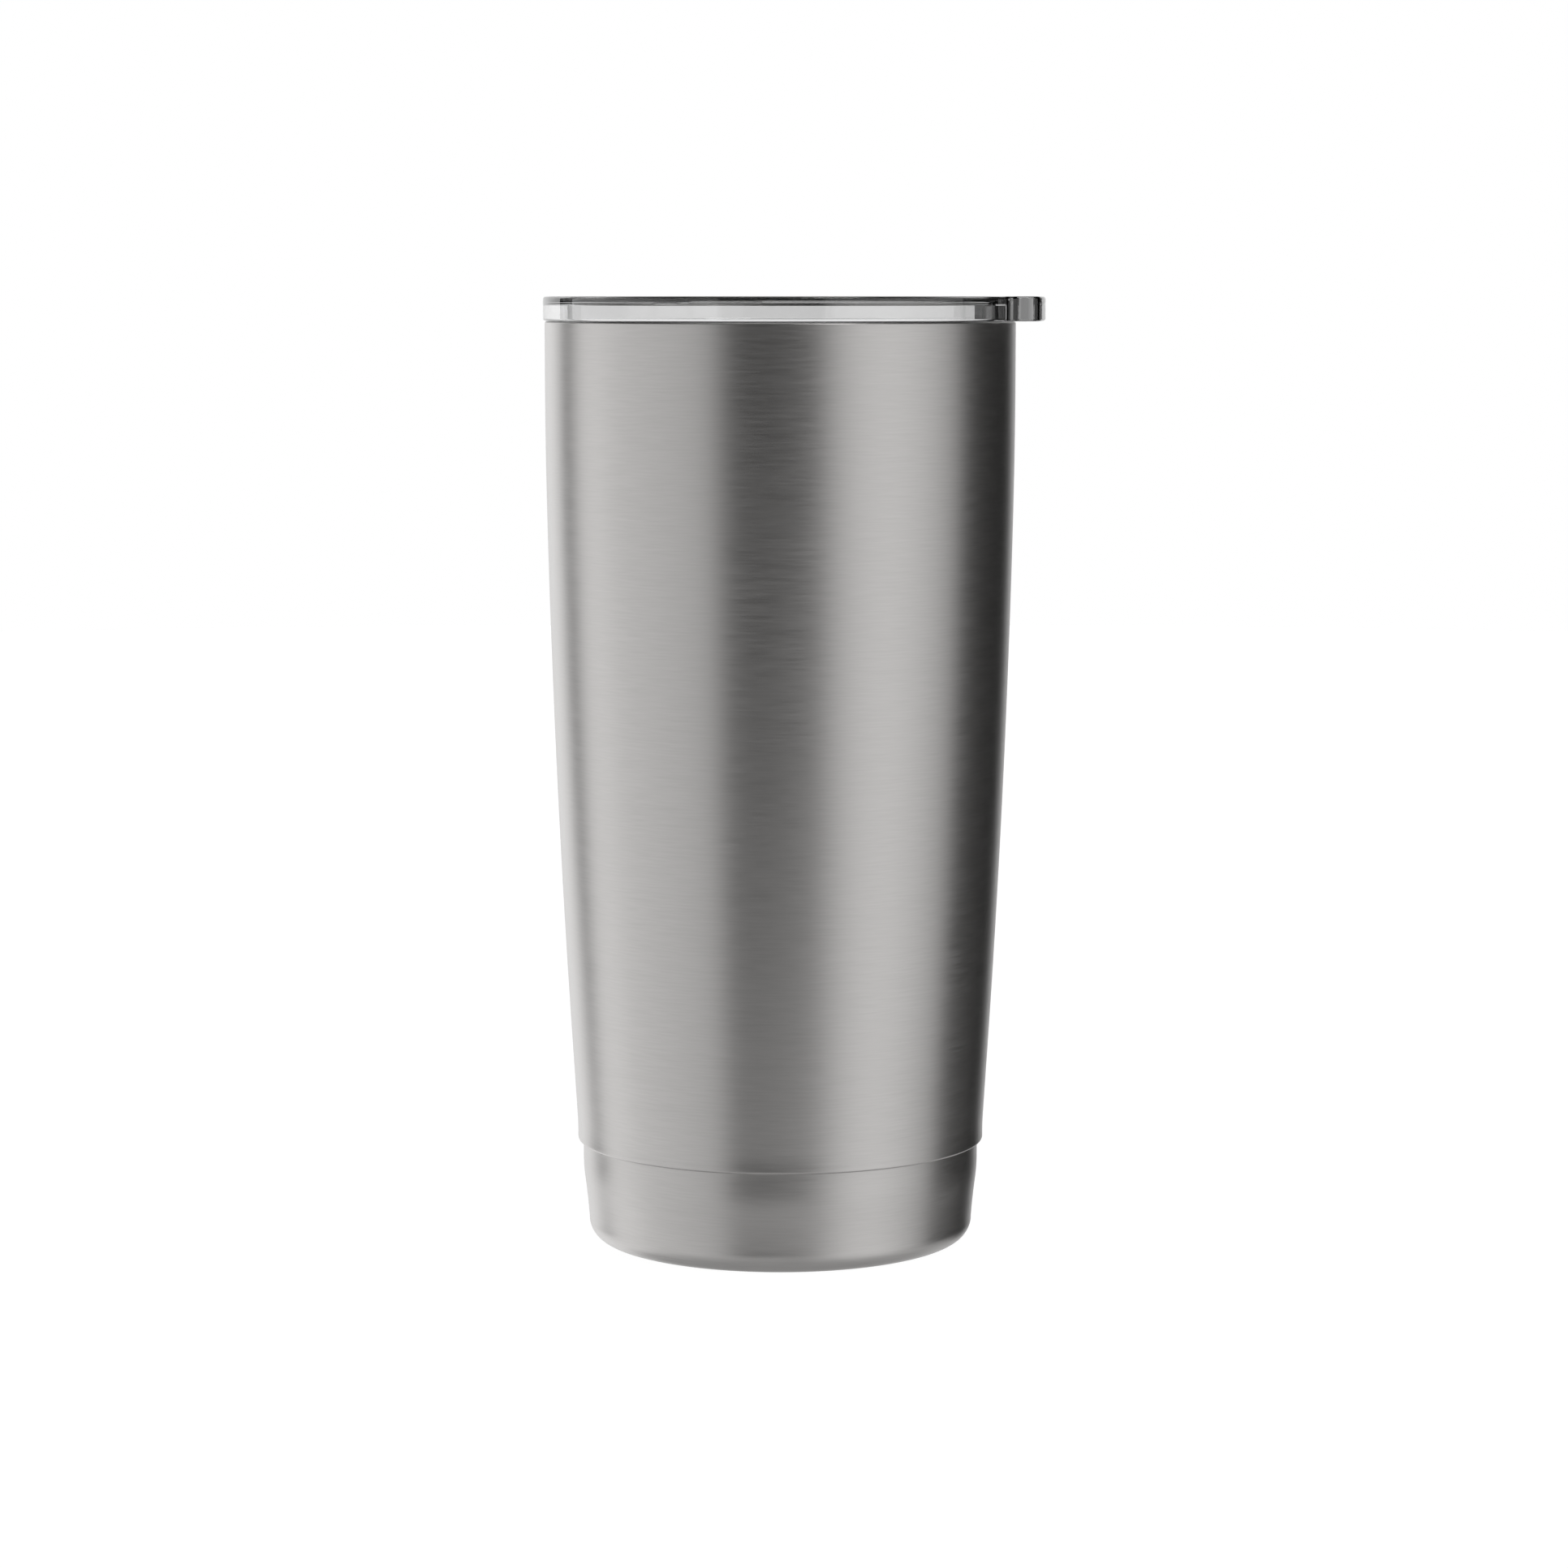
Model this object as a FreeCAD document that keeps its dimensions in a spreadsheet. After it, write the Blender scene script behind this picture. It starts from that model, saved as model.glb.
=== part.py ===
"""Insulated tumbler with a clear push-fit lid, as a parametric FreeCAD document.

A double-wall steel tumbler of the 20 fl oz class. Z is the tumbler's own axis and Z = 0 is the surface it
stands on. The lid's lift tab points along +X and its drinking opening lies on the -X side.

From the outside in: the outer shell tapers to a short straight skirt that laps over a narrower base cup; the
inner liner hangs from the lip, where the two are welded; the vacuum bottom closes the space between them.
The lid's flange rests on the lip, its plug and gasket reach into the liner, and a slider on the lid's deck
covers the drinking opening.
"""

import FreeCAD
import Part
import math
import os

import Sketcher
from FreeCAD import Placement, Rotation, Vector

# The driving dimensions, in millimetres.
SIZES = {
    # Outer shell
    "rim_radius": 43.79,
    "shell_wall": 0.6,
    "lip_height": 172.9,
    "lip_corner": 0.35,
    "weld_radius": 42.6,
    "taper_start": 163.2,
    "taper_knee": 137.7,
    "taper_foot": 36.8,
    "upper_bow": 1190.0,
    "lower_bow": 2419.0,
    "skirt_hollow": 55.0,
    "skirt_radius": 38.32,
    "skirt_edge": 19.2,
    "skirt_corner": 0.4,
    # Base cup
    "collar_top": 23.0,
    "collar_foot": 21.2,
    "collar_joggle": 20.6,
    "weld_gap": 0.02,
    "neck_radius": 37.3,
    "neck_end": 15.8,
    "neck_bow": 30.0,
    "neck_bow_end": 11.8,
    "base_hollow": 130.0,
    "base_corner": 4.0,
    "base_recess": 24.0,
    "base_recess_depth": 1.2,
    "base_recess_slope": 1.0,
    # Inner liner and its floor
    "mouth_radius": 41.6,
    "liner_wall": 0.5,
    "shoulder_top": 156.0,
    "shoulder_foot": 148.0,
    "shoulder_radius": 39.4,
    "shoulder_corner": 6.0,
    "floor_weld": 43.0,
    "floor_radius": 35.8,
    "floor_height": 33.0,
    "floor_corner": 5.0,
    # Vacuum bottom, its seal, the getter and the foil
    "vacuum_foot": 23.2,
    "vacuum_top": 27.0,
    "vacuum_wall": 0.8,
    "vacuum_corner": 1.6,
    "dimple_radius": 4.0,
    "dimple_crown": 2.2,
    "dimple_rise": 1.9,
    "dimple_hole": 0.6,
    "seal_sag": 1.2,
    "getter_radius": 4.5,
    "getter_height": 2.4,
    "getter_offset": 18.0,
    "strap_wall": 0.3,
    "strap_width": 4.0,
    "strap_foot": 3.0,
    "strap_gap": 0.05,
    "foil_wall": 0.15,
    "foil_top": 144.0,
    "foil_foot": 50.0,
    "foil_top_radius": 40.1,
    "foil_foot_radius": 36.9,
    # Lid
    "lid_radius": 44.1,
    "lid_top": 177.55,
    "flange_foot": 173.0,
    "flange_edge": 0.5,
    "flange_brow": 1.7,
    "recess_radius": 40.0,
    "recess_corner": 0.5,
    "plug_radius": 41.2,
    "plug_foot": 159.0,
    "plug_bore": 37.8,
    "deck_top": 167.5,
    "deck_wall": 2.0,
    "groove_floor": 39.7,
    "groove_foot": 160.8,
    "groove_top": 164.8,
    "tab_reach": 49.3,
    "tab_width": 28.0,
    "tab_corner": 3.0,
    "tab_root": 4.0,
    "sip_offset": 33.0,
    "sip_radius": 4.0,
    "sip_span": 9.0,
    "vent_offset": 31.0,
    "vent_radius": 1.2,
    # Rails and end stop on the deck
    "rail_start": 36.0,
    "rail_end": 3.4,
    "rail_face": 12.3,
    "rail_wall": 1.7,
    "rail_lip": 1.6,
    "rail_lip_foot": 1.6,
    "rail_height": 2.5,
    "rail_root": 0.5,
    "stop_wall": 1.4,
    "stop_width": 12.0,
    "stop_height": 1.2,
    # Slider
    "slider_gap": 0.1,
    "slider_nose": 39.3,
    "slider_tail": 17.0,
    "slider_width": 24.0,
    "slider_plate": 1.2,
    "slider_top_width": 20.6,
    "slider_top_plate": 1.0,
    "grip_offset": 21.6,
    "grip_radius": 2.4,
    "grip_span": 9.0,
    "grip_height": 2.2,
    "grip_edge": 0.7,
    # Slider seal
    "seal_gap": 0.02,
    "seal_inset": 0.6,
    "seal_width": 1.0,
    "seal_depth": 0.8,
    # Gasket
    "gasket_gap": 0.05,
    "gasket_radius": 40.6,
    "fin_radius": 41.5,
    "fin_wall": 0.8,
    "fin_drop": 0.5,
}

doc = FreeCAD.newDocument("insulated_tumbler")
sheet = doc.addObject("Spreadsheet::Sheet", "Sizes")
for row, (alias, number) in enumerate(SIZES.items(), start=1):
    sheet.set(f"A{row}", alias)
    sheet.set(f"B{row}", str(number))
    sheet.setAlias(f"B{row}", alias)
doc.recompute()


class Length:
    """A length in millimetres, with the expression that works it out from the spreadsheet."""

    def __init__(self, number, text):
        self.number = number
        self.text = text

    def __add__(self, other):
        other = length(other)
        return Length(self.number + other.number, f"({self.text} + {other.text})")

    def __sub__(self, other):
        other = length(other)
        return Length(self.number - other.number, f"({self.text} - {other.text})")

    def __mul__(self, factor):
        return Length(self.number * factor, f"({self.text} * {factor})")

    def __neg__(self):
        return self * -1


def length(source):
    """A Length from a spreadsheet alias, a plain number or a Length."""
    if isinstance(source, Length):
        return source
    if isinstance(source, str):
        return Length(SIZES[source], f"Sizes.{source}")
    return Length(float(source), str(source))


def point(x, y):
    return (length(x), length(y))


class Drawing:
    """A sketch in its own body's origin plane, with every size bound to the spreadsheet."""

    def __init__(self, body, plane, name, level=None):
        self.body = body
        self.sketch = body.newObject("Sketcher::SketchObject", name)
        support = next(f for f in body.Origin.OriginFeatures if f.Role == plane)
        self.sketch.AttachmentSupport = (support, [""])
        self.sketch.MapMode = "FlatFace"
        if level is not None:
            level = length(level)
            self.sketch.AttachmentOffset = Placement(Vector(0, 0, level.number), Rotation())
            self.sketch.setExpression("AttachmentOffset.Base.z", level.text)

    def rule(self, kind, *refs):
        return self.sketch.addConstraint(Sketcher.Constraint(kind, *refs))

    def bind(self, kind, refs, size):
        """Adds a dimension and binds it to the spreadsheet."""
        index = self.rule(kind, *refs, size.number)
        self.sketch.setExpression(f"Constraints[{index}]", size.text)

    def pin(self, end, x=None, y=None):
        """Fixes a point's distance from the sketch's origin, along one axis or both."""
        for kind, axis, size in (("DistanceX", -2, x), ("DistanceY", -1, y)):
            if size is None:
                continue
            if abs(size.number) < 1e-9:
                self.rule("PointOnObject", *end, axis)
            elif size.number > 0:
                self.bind(kind, (-1, 1, *end), size)
            else:
                self.bind(kind, (*end, -1, 1), -size)

    def segment(self, a, b):
        edge = Part.LineSegment(Vector(*a, 0), Vector(*b, 0))
        return self.sketch.addGeometry(edge, False)

    def arc(self, centre, radius, begin, end):
        """An arc, counter-clockwise from one angle to the other."""
        circle = Part.Circle(Vector(*centre, 0), Vector(0, 0, 1), radius)
        return self.sketch.addGeometry(Part.ArcOfCircle(circle, begin, end), False)

    def polygon(self, *corners):
        """A closed outline of straight edges with every corner fixed."""
        corners = [point(*corner) for corner in corners]
        edges = []
        for here, there in zip(corners, corners[1:] + corners[:1]):
            start = (here[0].number, here[1].number)
            finish = (there[0].number, there[1].number)
            edges.append(self.segment(start, finish))
        for edge, following in zip(edges, edges[1:] + edges[:1]):
            self.rule("Coincident", edge, 2, following, 1)
        for edge, corner in zip(edges, corners):
            self.pin((edge, 1), *corner)

    def slot(self, x, half_span, radius):
        """An oblong along the sketch's y, with round ends, centred on the x axis."""
        x, half_span, radius = length(x), length(half_span), length(radius)
        cx, cy, r = x.number, half_span.number, radius.number
        far = self.arc((cx, cy), r, 0, math.pi)
        left = self.segment((cx - r, cy), (cx - r, -cy))
        near = self.arc((cx, -cy), r, math.pi, 2 * math.pi)
        right = self.segment((cx + r, -cy), (cx + r, cy))
        self.rule("Tangent", far, 2, left, 1)
        self.rule("Tangent", left, 2, near, 1)
        self.rule("Tangent", near, 2, right, 1)
        self.rule("Tangent", right, 2, far, 1)
        self.rule("Equal", far, near)
        self.pin((far, 3), x, half_span)
        self.pin((near, 3), x, -half_span)
        self.bind("Radius", (far,), radius)

    def circle(self, x, y, radius):
        x, y, radius = length(x), length(y), length(radius)
        shape = Part.Circle(Vector(x.number, y.number, 0), Vector(0, 0, 1), radius.number)
        edge = self.sketch.addGeometry(shape, False)
        self.pin((edge, 3), x, y)
        self.bind("Radius", (edge,), radius)

    def revolve(self, name):
        feature = self.body.newObject("PartDesign::Revolution", name)
        feature.Profile = self.sketch
        feature.ReferenceAxis = (self.sketch, ["V_Axis"])
        feature.Angle = 360.0
        self.sketch.Visibility = False
        return feature

    def pad(self, name, size, midplane=False):
        size = length(size)
        feature = self.body.newObject("PartDesign::Pad", name)
        feature.Profile = self.sketch
        feature.Length = size.number
        feature.setExpression("Length", size.text)
        feature.Midplane = midplane
        return feature

    def pocket(self, name, size, upward=False):
        """Cuts down from the sketch, or up, and makes sure that something was cut."""
        doc.recompute()
        before = self.body.Shape.Volume
        size = length(size)
        feature = self.body.newObject("PartDesign::Pocket", name)
        feature.Profile = self.sketch
        feature.Length = size.number
        feature.setExpression("Length", size.text)
        feature.Reversed = upward
        doc.recompute()
        if self.body.Shape.Volume > before - 0.01:
            raise RuntimeError(f"{name} cut nothing")
        return feature


class Run:
    """A chain of edges in a drawing, from the top down. Its arcs leave the edge above them smoothly."""

    def __init__(self, drawing, x, y):
        self.drawing = drawing
        self.here = point(x, y)
        self.spot = (self.here[0].number, self.here[1].number)
        self.heading = None
        self.first = None
        self.last = None

    def _attach(self, begin, end, smooth):
        if self.last is None:
            self.first = begin
            self.drawing.pin(begin, *self.here)
        else:
            self.drawing.rule("Tangent" if smooth else "Coincident", *self.last, *begin)
        self.last = end

    def line(self, x, y):
        """A straight edge to a fixed point."""
        target = point(x, y)
        finish = (target[0].number, target[1].number)
        edge = self.drawing.segment(self.spot, finish)
        self._attach((edge, 1), (edge, 2), False)
        self.drawing.pin((edge, 2), *target)
        self.heading = math.atan2(finish[1] - self.spot[1], finish[0] - self.spot[0])
        self.spot = finish
        return self

    def bow(self, radius, y, turn=-1):
        """A smooth arc down to the height y, turning towards the axis (-1) or away from it (+1)."""
        radius, y = length(radius), length(y)
        r = radius.number
        side = self.heading + turn * math.pi / 2
        centre = (self.spot[0] + r * math.cos(side), self.spot[1] + r * math.sin(side))
        begin = side - math.pi
        lift = (y.number - centre[1]) / r
        end = math.asin(lift)
        if turn > 0:
            end = -math.pi - end
        while end - begin > math.pi:
            end -= 2 * math.pi
        while end - begin < -math.pi:
            end += 2 * math.pi
        if turn < 0:
            edge = self.drawing.arc(centre, r, end, begin)
            self._attach((edge, 2), (edge, 1), True)
        else:
            edge = self.drawing.arc(centre, r, begin, end)
            self._attach((edge, 1), (edge, 2), True)
        self.drawing.bind("Radius", (edge,), radius)
        self.drawing.pin(self.last, y=y)
        self.spot = (centre[0] + r * math.cos(end), centre[1] + r * math.sin(end))
        self.heading = end + turn * math.pi / 2
        return self

    def settle(self, radius, x, y):
        """Straight on, then a smooth arc into an upright edge at x that ends at the height y."""
        radius = length(radius)
        target = point(x, y)
        r = radius.number
        turn = -math.pi / 2 - self.heading
        slope = abs(turn)
        across = self.spot[0] - target[0].number - r * (1 - math.cos(slope))
        knee = (self.spot[0] - across, self.spot[1] - across / math.tan(slope))
        cone = self.drawing.segment(self.spot, knee)
        self._attach((cone, 1), (cone, 2), True)
        centre = (target[0].number + r, knee[1] - r * math.sin(slope))
        hollow = self.drawing.arc(centre, r, math.pi - slope, math.pi)
        self._attach((hollow, 1), (hollow, 2), True)
        self.drawing.bind("Radius", (hollow,), radius)
        foot = (target[0].number, target[1].number)
        upright = self.drawing.segment((foot[0], centre[1]), foot)
        self._attach((upright, 1), (upright, 2), True)
        self.drawing.rule("Vertical", upright)
        self.drawing.pin((upright, 2), *target)
        self.spot = foot
        self.heading = -math.pi / 2
        return self


def join_runs(outer, inner):
    """Closes an outline between two runs, at their tops and at their feet."""
    drawing = outer.drawing
    ends = ((outer.first, inner.first), (outer.last, inner.last))
    for near, far in ends:
        a = drawing.sketch.getPoint(*near)
        b = drawing.sketch.getPoint(*far)
        edge = drawing.segment((a.x, a.y), (b.x, b.y))
        drawing.rule("Coincident", *near, edge, 1)
        drawing.rule("Coincident", *far, edge, 2)


pieces = []


def new_body(label):
    body = doc.addObject("PartDesign::Body", label)
    body.Label = label
    pieces.append(body)
    return body


def fillet(body, name, size, wanted):
    """Rounds the edges of the body so far for which wanted(edge) holds."""
    doc.recompute()
    size = length(size)
    base = body.Tip
    names = [f"Edge{i}" for i, edge in enumerate(base.Shape.Edges, start=1) if wanted(edge)]
    if not names:
        raise RuntimeError(f"{name} found no edge in {body.Label}")
    feature = body.newObject("PartDesign::Fillet", name)
    feature.Base = (base, names)
    feature.Radius = size.number
    feature.setExpression("Radius", size.text)
    doc.recompute()
    return feature


def ring_at(*places):
    """A test for full circles round the axis, at any of the (radius, height) places."""
    targets = [point(*place) for place in places]

    def wanted(edge):
        curve = edge.Curve
        if not isinstance(curve, Part.Circle) or abs(edge.Length - 2 * math.pi * curve.Radius) > 0.01:
            return False
        for r, z in targets:
            if abs(curve.Radius - r.number) < 0.12 and abs(curve.Center.z - z.number) < 0.05:
                return True
        return False

    return wanted


def upright_at(*places):
    """A test for upright edges that pass through any of the (x, y) places."""

    def wanted(edge):
        a, b = edge.Vertexes[0].Point, edge.Vertexes[-1].Point
        if abs(a.z - b.z) < 0.5 or math.hypot(a.x - b.x, a.y - b.y) > 0.01:
            return False
        return any(math.hypot(a.x - x, a.y - y) < 0.2 for x, y in places)

    return wanted


# Outer shell: a flat-topped lip, a bowed taper, and a straight skirt that laps over the base cup.
shell = new_body("outer_shell")
drawing = Drawing(shell, "XZ_Plane", "ShellSection")
outside = Run(drawing, "weld_radius", "lip_height")
outside.line("rim_radius", "lip_height")
outside.line("rim_radius", "taper_start")
outside.bow("upper_bow", "taper_knee")
outside.bow("lower_bow", "taper_foot")
outside.settle("skirt_hollow", "skirt_radius", "skirt_edge")
wall = length("shell_wall")
inside = Run(drawing, "weld_radius", length("lip_height") - wall)
inside.line(length("rim_radius") - wall, length("lip_height") - wall)
inside.line(length("rim_radius") - wall, "taper_start")
inside.bow(length("upper_bow") - wall, "taper_knee")
inside.bow(length("lower_bow") - wall, "taper_foot")
inside.settle(length("skirt_hollow") + wall, length("skirt_radius") - wall, "skirt_edge")
join_runs(outside, inside)
drawing.revolve("ShellBody")
fillet(shell, "LipRound", "lip_corner", ring_at(("rim_radius", "lip_height")))
fillet(shell, "SkirtRound", "skirt_corner", ring_at(("skirt_radius", "skirt_edge")))

# Base cup: a collar welded inside the skirt, a neck just below it, and a rounded foot with a stamped recess.
cup = new_body("base_cup")
drawing = Drawing(cup, "XZ_Plane", "CupSection")
collar = length("skirt_radius") - wall - length("weld_gap")
outside = Run(drawing, collar, "collar_top")
outside.line(collar, "collar_foot")
outside.line("neck_radius", "collar_joggle")
outside.line("neck_radius", "neck_end")
outside.bow("neck_bow", "neck_bow_end")
outside.bow("base_hollow", 0, turn=1)
foot_radius = outside.spot[0]
outside.line("base_recess", 0)
outside.line(length("base_recess") - length("base_recess_slope"), "base_recess_depth")
outside.line(0, "base_recess_depth")
inside = Run(drawing, collar - wall, "collar_top")
inside.line(collar - wall, "collar_foot")
inside.line(length("neck_radius") - wall, "collar_joggle")
inside.line(length("neck_radius") - wall, "neck_end")
inside.bow(length("neck_bow") - wall, "neck_bow_end")
inside.bow(length("base_hollow") + wall, wall, turn=1)
inner_foot_radius = inside.spot[0]
inside.line(length("base_recess") + length("base_recess_slope") * 0.4, wall)
recess_ceiling = length("base_recess_depth") + wall
inside.line(length("base_recess") - length("base_recess_slope") * 0.6, recess_ceiling)
inside.line(0, recess_ceiling)
join_runs(outside, inside)
drawing.revolve("CupBody")
fillet(cup, "FootRound", "base_corner", ring_at((foot_radius, 0)))
fillet(cup, "FootInnerRound", length("base_corner") - wall, ring_at((inner_foot_radius, wall)))

# Inner liner: a straight mouth for the plug, a shoulder that opens the vacuum gap, and a long cone.
liner = new_body("inner_liner")
drawing = Drawing(liner, "XZ_Plane", "LinerSection")
skin = length("liner_wall")
inside = Run(drawing, "weld_radius", "lip_height")
inside.line("mouth_radius", "lip_height")
inside.line("mouth_radius", "shoulder_top")
inside.line("shoulder_radius", "shoulder_foot")
inside.line("floor_radius", "floor_weld")
outside = Run(drawing, "weld_radius", length("lip_height") - skin)
outside.line(length("mouth_radius") + skin, length("lip_height") - skin)
outside.line(length("mouth_radius") + skin, "shoulder_top")
outside.line(length("shoulder_radius") + skin, "shoulder_foot")
outside.line(length("floor_radius") + skin, "floor_weld")
join_runs(outside, inside)
drawing.revolve("LinerBody")
fillet(liner, "MouthRound", "lip_corner", ring_at(("mouth_radius", "lip_height")))
shoulder_rings = ring_at(
    ("mouth_radius", "shoulder_top"),
    (length("mouth_radius") + skin, "shoulder_top"),
    ("shoulder_radius", "shoulder_foot"),
    (length("shoulder_radius") + skin, "shoulder_foot"),
)
fillet(liner, "ShoulderRound", "shoulder_corner", shoulder_rings)

# Liner floor: a shallow pan, welded edge to edge to the foot of the cone.
floor = new_body("liner_floor")
drawing = Drawing(floor, "XZ_Plane", "FloorSection")
floor_outside = length("floor_radius") + skin
drawing.polygon(
    ("floor_radius", "floor_weld"),
    (floor_outside, "floor_weld"),
    (floor_outside, length("floor_height") - skin),
    (0, length("floor_height") - skin),
    (0, "floor_height"),
    ("floor_radius", "floor_height"),
)
drawing.revolve("FloorBody")
fillet(floor, "PanInnerRound", "floor_corner", ring_at(("floor_radius", "floor_height")))
outer_corner = ring_at((floor_outside, length("floor_height") - skin))
fillet(floor, "PanOuterRound", length("floor_corner") + skin, outer_corner)

# Vacuum bottom: closes the space between the walls, with a small dimple that the air was drawn out through.
vacuum = new_body("vacuum_bottom")
drawing = Drawing(vacuum, "XZ_Plane", "VacuumSection")
plate = length("vacuum_wall")
plate_foot = length("vacuum_top") - plate
crown_top = length("vacuum_top") + length("dimple_rise")
crown_foot = plate_foot + length("dimple_rise")
drawing.polygon(
    ("dimple_hole", crown_top),
    ("dimple_crown", crown_top),
    ("dimple_radius", "vacuum_top"),
    (collar, "vacuum_top"),
    (collar, "vacuum_foot"),
    (collar - plate, "vacuum_foot"),
    (collar - plate, plate_foot),
    (length("dimple_radius") - plate * 0.3, plate_foot),
    (length("dimple_crown") - plate * 0.3, crown_foot),
    ("dimple_hole", crown_foot),
)
drawing.revolve("VacuumBody")
fillet(vacuum, "FlangeRound", "vacuum_corner", ring_at((collar, "vacuum_top")))
inner_corner = ring_at((collar - plate, plate_foot))
fillet(vacuum, "FlangeInnerRound", length("vacuum_corner") - plate, inner_corner)

# Vacuum seal: the bead that fills the dimple from below.
seal = new_body("vacuum_seal")
drawing = Drawing(seal, "XZ_Plane", "SealSection")
drawing.polygon(
    (0, crown_foot),
    (length("dimple_crown") - 0.4, crown_foot),
    (length("dimple_radius") - 1.4, crown_foot - length("seal_sag")),
    (0, crown_foot - length("seal_sag")),
)
drawing.revolve("SealBody")

# Getter: a pill on the vacuum bottom, held by a folded strap.
getter = new_body("getter")
drawing = Drawing(getter, "XY_Plane", "GetterSection", level="vacuum_top")
drawing.circle("getter_offset", 0, "getter_radius")
drawing.pad("GetterBody", "getter_height")

strap = new_body("getter_strap")
drawing = Drawing(strap, "YZ_Plane", "StrapSection", level="getter_offset")
inner_half = length("getter_radius") + length("strap_gap")
outer_half = inner_half + length("strap_wall")
foot_half = outer_half + length("strap_foot")
strap_base = length("vacuum_top")
strap_sole = strap_base + length("strap_wall")
strap_ceiling = strap_base + length("getter_height")
strap_roof = strap_ceiling + length("strap_wall")
drawing.polygon(
    (-foot_half, strap_base),
    (-foot_half, strap_sole),
    (-outer_half, strap_sole),
    (-outer_half, strap_roof),
    (outer_half, strap_roof),
    (outer_half, strap_sole),
    (foot_half, strap_sole),
    (foot_half, strap_base),
    (inner_half, strap_base),
    (inner_half, strap_ceiling),
    (-inner_half, strap_ceiling),
    (-inner_half, strap_base),
)
drawing.pad("StrapBody", "strap_width", midplane=True)

# Foil: the copper radiation shield wrapped round the liner's cone.
foil = new_body("copper_foil")
drawing = Drawing(foil, "XZ_Plane", "FoilSection")
drawing.polygon(
    ("foil_top_radius", "foil_top"),
    (length("foil_top_radius") + length("foil_wall"), "foil_top"),
    (length("foil_foot_radius") + length("foil_wall"), "foil_foot"),
    ("foil_foot_radius", "foil_foot"),
)
drawing.revolve("FoilBody")

# Lid: flange, plug and deck in one revolved section.
lid = new_body("lid_body")
drawing = Drawing(lid, "XZ_Plane", "LidSection")
deck_foot = length("deck_top") - length("deck_wall")
drawing.polygon(
    ("recess_radius", "lid_top"),
    ("lid_radius", "lid_top"),
    ("lid_radius", "flange_foot"),
    ("plug_radius", "flange_foot"),
    ("plug_radius", "groove_top"),
    ("groove_floor", "groove_top"),
    ("groove_floor", "groove_foot"),
    ("plug_radius", "groove_foot"),
    ("plug_radius", "plug_foot"),
    ("plug_bore", "plug_foot"),
    ("plug_bore", deck_foot),
    (0, deck_foot),
    (0, "deck_top"),
    ("recess_radius", "deck_top"),
)
drawing.revolve("LidBody")

# The lift tab runs out of the flange, with an end concentric with it, round corners and hollow roots.
tab_half = length("tab_width") * 0.5
drawing = Drawing(lid, "XY_Plane", "TabOutline", level="flange_foot")
tab_start = length("recess_radius") + 1.0
reach = SIZES["tab_reach"]
half = tab_half.number
spread = math.asin(half / reach)
tip = math.sqrt(reach ** 2 - half ** 2)
back = tab_start.number
end_arc = drawing.arc((0, 0), reach, -spread, spread)
far_side = drawing.segment((tip, half), (back, half))
across = drawing.segment((back, half), (back, -half))
near_side = drawing.segment((back, -half), (tip, -half))
drawing.rule("Coincident", end_arc, 3, -1, 1)
drawing.bind("Radius", (end_arc,), length("tab_reach"))
drawing.rule("Coincident", end_arc, 2, far_side, 1)
drawing.rule("Coincident", far_side, 2, across, 1)
drawing.rule("Coincident", across, 2, near_side, 1)
drawing.rule("Coincident", near_side, 2, end_arc, 1)
drawing.rule("Horizontal", far_side)
drawing.rule("Horizontal", near_side)
drawing.rule("Vertical", across)
drawing.pin((end_arc, 2), y=tab_half)
drawing.pin((end_arc, 1), y=-tab_half)
drawing.pin((far_side, 2), x=tab_start)
drawing.pad("TabBody", length("lid_top") - length("flange_foot"))
root_x = math.sqrt(SIZES["lid_radius"] ** 2 - half ** 2)
fillet(lid, "TabRoots", "tab_root", upright_at((root_x, half), (root_x, -half)))
fillet(lid, "TabCorners", "tab_corner", upright_at((tip, half), (tip, -half)))


def flange_rim(edge):
    """The outer top and bottom edges of the flange and its tab."""
    box = edge.BoundBox
    if box.ZLength > 0.01:
        return False
    level = edge.Vertexes[0].Point.z
    middle = edge.valueAt((edge.FirstParameter + edge.LastParameter) / 2)
    outer = math.hypot(middle.x, middle.y) > SIZES["lid_radius"] - 0.05
    return outer and min(abs(level - SIZES["lid_top"]), abs(level - SIZES["flange_foot"])) < 0.01


fillet(lid, "FlangeEdges", "flange_edge", flange_rim)
fillet(lid, "FlangeBrow", "flange_brow", ring_at(("recess_radius", "lid_top")))
fillet(lid, "RecessRound", "recess_corner", ring_at(("recess_radius", "deck_top")))
fillet(lid, "PlugEdge", "flange_edge", ring_at(("plug_radius", "plug_foot"), ("plug_bore", "plug_foot")))

# The drinking opening and the vent go through the deck.
drawing = Drawing(lid, "XY_Plane", "SipOutline", level="deck_top")
drawing.slot(-length("sip_offset"), length("sip_span") * 0.5, "sip_radius")
drawing.pocket("SipOpening", "deck_wall")
drawing = Drawing(lid, "XY_Plane", "VentOutline", level="deck_top")
drawing.circle("vent_offset", 0, "vent_radius")
drawing.pocket("VentHole", "deck_wall")

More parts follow.
